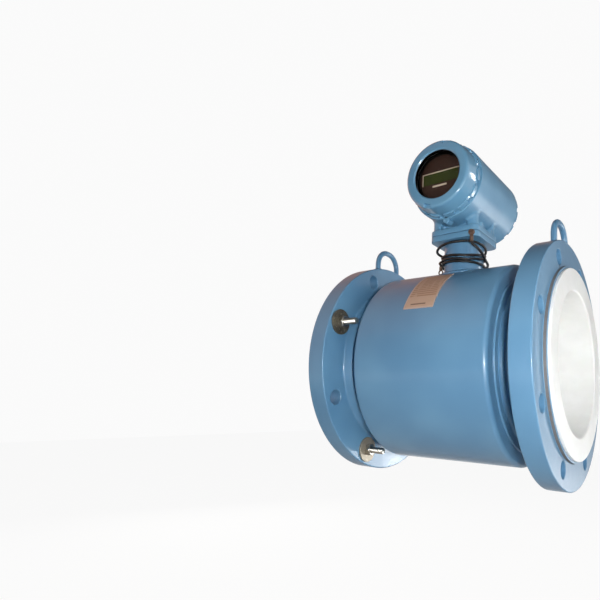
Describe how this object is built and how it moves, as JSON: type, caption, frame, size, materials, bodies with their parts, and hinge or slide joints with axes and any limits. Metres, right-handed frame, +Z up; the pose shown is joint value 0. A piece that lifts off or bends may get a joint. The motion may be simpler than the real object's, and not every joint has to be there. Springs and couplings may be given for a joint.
{
  "type": "flanged electromagnetic flow meter",
  "caption": "Flanged full-bore electromagnetic flow meter: white lined pipe, round blue coil housing, lifting eyes, and a display transmitter with screw-on covers on a neck.",
  "frame": {"origin": "on the bore axis, halfway between the two liner faces", "axes": "+X along the pipe towards the front flange, +Z up the neck to the transmitter, display faces -Y"},
  "size_m": [0.356, 0.343, 0.516],
  "materials": {
    "blue_paint": "gloss enamel",
    "liner_white": "smooth fluoropolymer",
    "zinc_steel": "zinc plated",
    "washer_dark": "matt",
    "stainless": "ground",
    "magnet_steel": "plain",
    "copper_winding": "enamelled copper",
    "insulator": "moulded",
    "gasket_black": "matt",
    "tag_plate": "satin",
    "window_glass": "clear",
    "display_dark": "moulded",
    "display_green": "liquid crystal panel",
    "module_plastic": "moulded",
    "plug_black": "moulded",
    "wire_black": "satin sleeve",
    "lead_sleeve": "wire sleeve",
    "earth_bronze": "plain"
  },
  "bodies": {
    "meter": {"flow_tube": "blue_paint", "liner": "liner_white", "front_flange": "blue_paint", "rear_flange": "blue_paint", "front_lifting_eye": "blue_paint", "rear_lifting_eye": "blue_paint", "flange_bolts": "zinc_steel", "flange_washers": "washer_dark", "flange_nuts": "zinc_steel", "coil_housing": "blue_paint", "front_end_plate": "blue_paint", "rear_end_plate": "blue_paint", "upper_pole_piece": "magnet_steel", "lower_pole_piece": "magnet_steel", "upper_coil": "copper_winding", "lower_coil": "copper_winding", "flux_return_band": "magnet_steel", "near_electrode": "stainless", "far_electrode": "stainless", "electrode_bushes": "insulator", "electrode_springs": "stainless", "electrode_nuts": "stainless", "neck_tube": "blue_paint", "neck_flange": "blue_paint", "neck_gasket": "gasket_black", "lead_seal": "insulator", "sensor_leads": "lead_sleeve", "sensor_tag": "tag_plate", "transmitter_housing": "blue_paint", "base_screws": "blue_paint", "cover_lock_screws": "zinc_steel", "conduit_plug": "plug_black", "transmitter_label": "tag_plate", "electronics_module": "module_plastic", "display_module": "display_dark", "display_panel": "display_green", "terminal_block": "insulator", "terminal_screws": "zinc_steel", "earth_screw": "earth_bronze", "earth_lug": "earth_bronze", "earth_wire_winding": "wire_black", "earth_wire_run": "wire_black", "earth_wire_end_lug": "earth_bronze"},
    "display_seal": {"display_cover_seal": "gasket_black"},
    "display_cap": {"display_cover": "blue_paint", "display_glass": "window_glass", "glass_retainer": "gasket_black"},
    "terminal_seal": {"terminal_cover_seal": "gasket_black"},
    "terminal_cap": {"terminal_cover": "blue_paint"}
  },
  "joints": [
    {"name": "display_cover_slide", "type": "slide", "parent": "meter", "child": "display_seal", "axis": [0, -1, 0], "range_m": [0, 0.0125]},
    {"name": "display_cover_turn", "type": "hinge", "parent": "display_seal", "child": "display_cap", "pos_m": [0, -0.064, 0.2827], "axis": [0, -1, 0], "range_deg": [0, 2160]},
    {"name": "terminal_cover_slide", "type": "slide", "parent": "meter", "child": "terminal_seal", "axis": [0, 1, 0], "range_m": [0, 0.0125]},
    {"name": "terminal_cover_turn", "type": "hinge", "parent": "terminal_seal", "child": "terminal_cap", "pos_m": [0, 0.084, 0.2827], "axis": [0, 1, 0], "range_deg": [0, 2160]}
  ],
  "couplings": [
    {"joint": "display_cover_slide", "follows": "display_cover_turn", "m_per_rad": 0.00031831},
    {"joint": "terminal_cover_slide", "follows": "terminal_cover_turn", "m_per_rad": 0.00031831}
  ]
}
